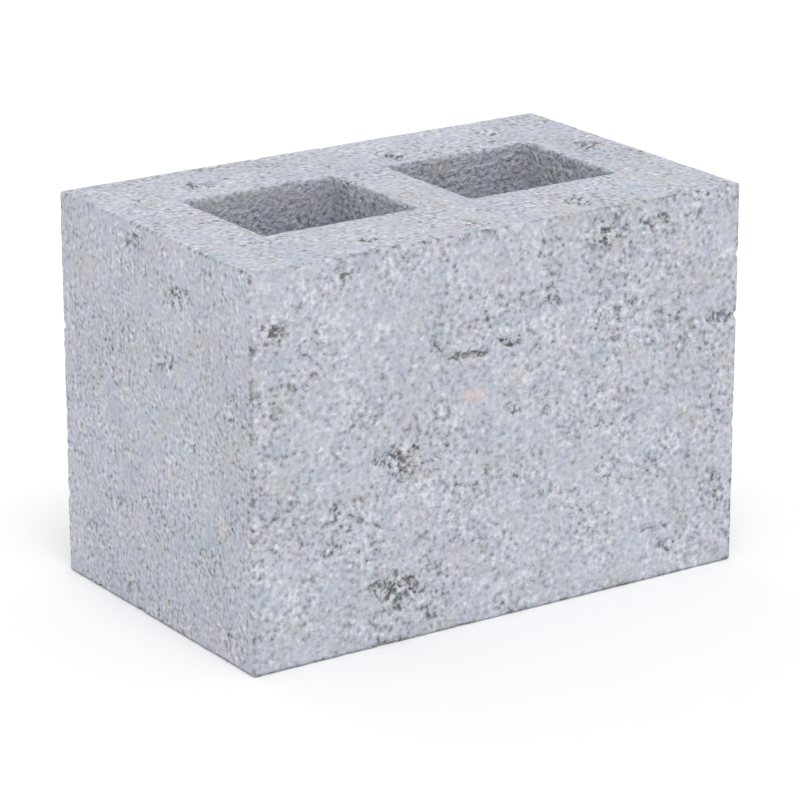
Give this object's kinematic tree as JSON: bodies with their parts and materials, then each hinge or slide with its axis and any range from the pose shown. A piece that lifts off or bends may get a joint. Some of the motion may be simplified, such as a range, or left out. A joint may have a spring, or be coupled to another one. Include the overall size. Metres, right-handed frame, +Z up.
{
  "type": "hollow concrete block",
  "caption": "Rectangular hollow concrete building block with rectangular cells running straight through it from top to bottom.",
  "frame": {"origin": "middle of the lower bed face, below the web between the two cells", "axes": "+X along the block's length, +Y through its thickness, +Z up through the cells"},
  "size_m": [0.39, 0.24, 0.27],
  "materials": {
    "concrete": "open-textured grey block concrete with fine pits and specks"
  },
  "bodies": {
    "root": {"block": "concrete"}
  },
  "joints": []
}
